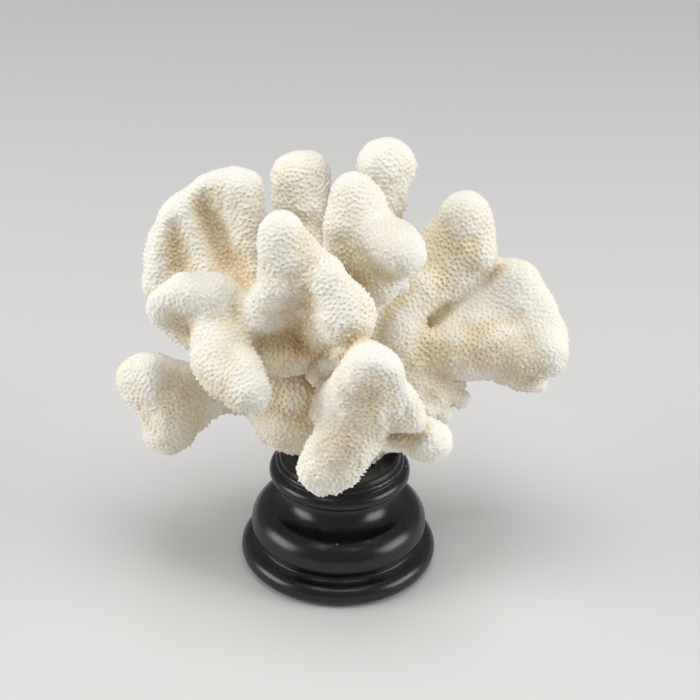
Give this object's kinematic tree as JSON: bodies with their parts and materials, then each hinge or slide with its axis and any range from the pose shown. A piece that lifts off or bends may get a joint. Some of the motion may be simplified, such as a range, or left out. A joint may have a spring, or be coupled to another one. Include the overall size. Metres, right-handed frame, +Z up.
{
  "type": "branching coral on turned base",
  "caption": "Cream branching coral with thick rounded lobes, set upright in the shallow dish of a turned black wooden base, as a desk or shelf ornament.",
  "frame": {"origin": "centre of the stand's flat underside", "axes": "+Z up along the stand's turning axis; -Y is the front of the coral; +X is to the right seen from the front"},
  "size_m": [0.1506, 0.1135, 0.1483],
  "materials": {
    "coral": "matt, granular, hooded cups",
    "black_lacquered_wood": "black satin lacquer"
  },
  "bodies": {
    "root": {"stand": "black_lacquered_wood", "coral_trunk": "coral", "branch_far_left": "coral", "branch_front_left_finger": "coral", "branch_left_knuckle": "coral", "branch_upper_left_fan": "coral", "branch_centre_fan": "coral", "branch_centre_right": "coral", "branch_back_left_finger": "coral", "branch_back_right_finger": "coral", "branch_right_upper": "coral", "branch_right_paddle": "coral", "branch_front_low": "coral", "branch_front_right_toe": "coral", "branch_rear_low": "coral", "branch_rear_left": "coral", "branch_rear_right": "coral"}
  },
  "joints": []
}
